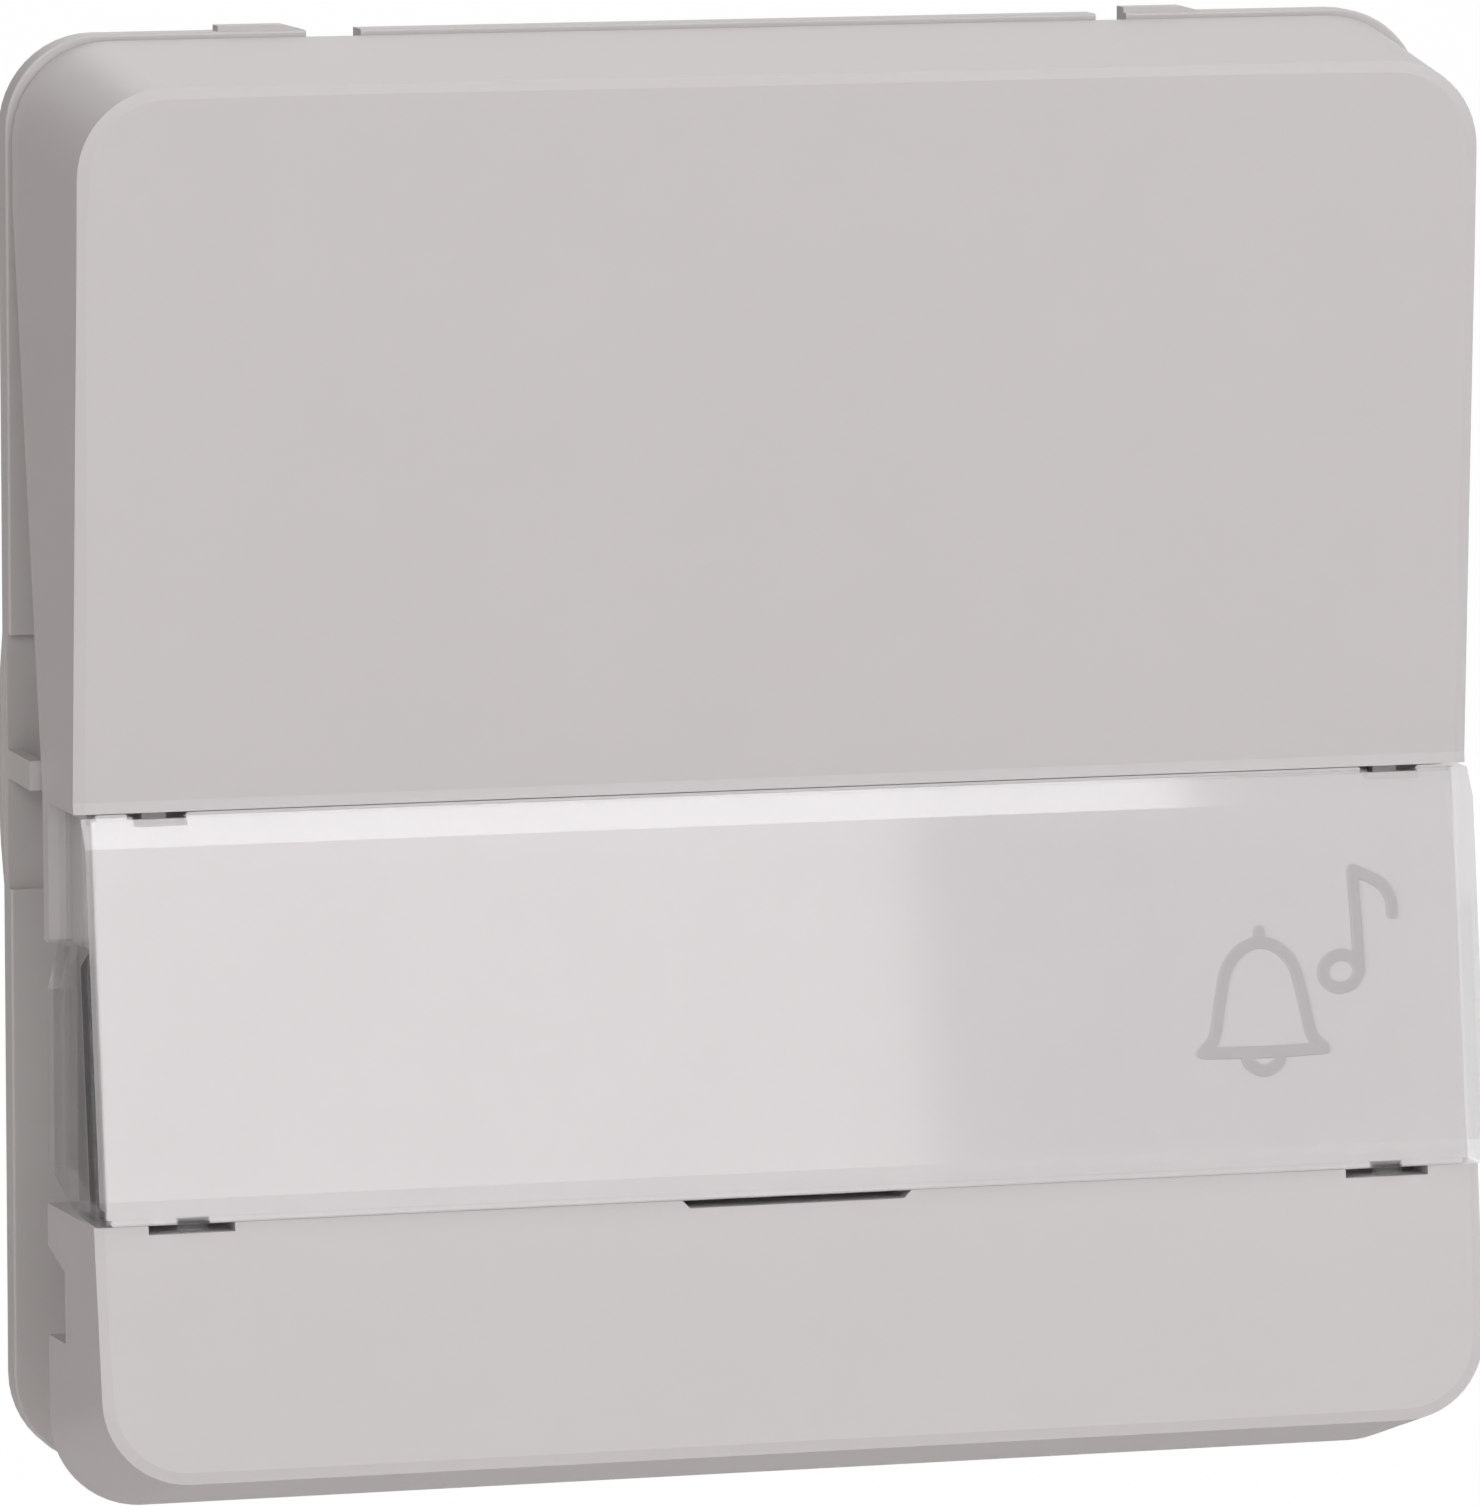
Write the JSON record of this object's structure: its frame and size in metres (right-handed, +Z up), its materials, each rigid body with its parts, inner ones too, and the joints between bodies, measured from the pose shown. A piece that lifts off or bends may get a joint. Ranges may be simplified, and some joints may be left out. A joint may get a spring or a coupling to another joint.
{
  "type": "doorbell push button",
  "caption": "Square wall bell push: a rocking key with a shallow V face and a clear label window, on a back frame with a sealed switch behind it.",
  "frame": {"origin": "on the support frame's rear seating face, at the middle of its width and on the axis of the switch housing", "axes": "+X right seen from the front, +Y into the wall, +Z up; the key faces -Y"},
  "size_m": [0.0666, 0.0397, 0.0654],
  "materials": {
    "white_plastic": "fine satin moulded light grey-white plastic",
    "frame_plastic": "fine matt moulded light grey plastic",
    "clear_plastic": "clear moulded plastic, glossy",
    "label_card": "smooth printed label",
    "backing_plastic": "white moulded plastic",
    "black_rubber": "soft black elastomer",
    "grey_rubber": "grey elastomer seal",
    "housing_plastic": "matt grey technical plastic",
    "plunger_plastic": "white acetal",
    "brass": "bright rolled brass",
    "silver": "silver contact facing",
    "spring_steel": "stainless spring steel",
    "screw_steel": "zinc plated steel",
    "lever_plastic": "orange moulded plastic"
  },
  "bodies": {
    "mechanism": {"support_frame": "frame_plastic", "rear_seal": "grey_rubber", "housing_cover": "housing_plastic", "housing": "housing_plastic", "frame_screws": "screw_steel", "plunger_seal": "grey_rubber", "contact_left": "brass", "contact_right": "brass", "fixed_rivets": "silver", "clamp_spring_left": "spring_steel", "clamp_spring_right": "spring_steel", "return_spring": "spring_steel"},
    "key": {"push_plate": "white_plastic", "label_insert": "label_card", "label_backing": "backing_plastic", "backing_pad": "black_rubber"},
    "window": {"label_window": "clear_plastic"},
    "plunger": {"plunger": "plunger_plastic", "contact_bridge": "brass", "bridge_rivets": "silver"},
    "lever_left": {"release_lever_left": "lever_plastic"},
    "lever_right": {"release_lever_right": "lever_plastic"}
  },
  "joints": [
    {"name": "key_rock", "type": "hinge", "parent": "mechanism", "child": "key", "pos_m": [0, -0.007, 0.0006], "axis": [1, 0, 0], "range_deg": [0, 4.4], "stiffness_Nm_per_rad": 0.8, "springref_deg": -2.86},
    {"name": "plunger_slide", "type": "slide", "parent": "mechanism", "child": "plunger", "axis": [0, 1, 0], "range_m": [0, 0.00129], "deforming": ["return_spring"]},
    {"name": "window_swing", "type": "hinge", "parent": "key", "child": "window", "pos_m": [0, -0.01115, -0.0007], "axis": [-1, 0, 0], "range_deg": [0, 18]},
    {"name": "lever_left_press", "type": "slide", "parent": "mechanism", "child": "lever_left", "axis": [0, -1, 0], "range_m": [0, 0.0015], "stiffness_N_per_m": 2000, "springref_m": -0.0005, "deforming": ["clamp_spring_left"]},
    {"name": "lever_right_press", "type": "slide", "parent": "mechanism", "child": "lever_right", "axis": [0, -1, 0], "range_m": [0, 0.0015], "stiffness_N_per_m": 2000, "springref_m": -0.0005, "deforming": ["clamp_spring_right"]}
  ],
  "couplings": [
    {"joint": "plunger_slide", "follows": "key_rock", "m_per_rad": 0.0166}
  ]
}
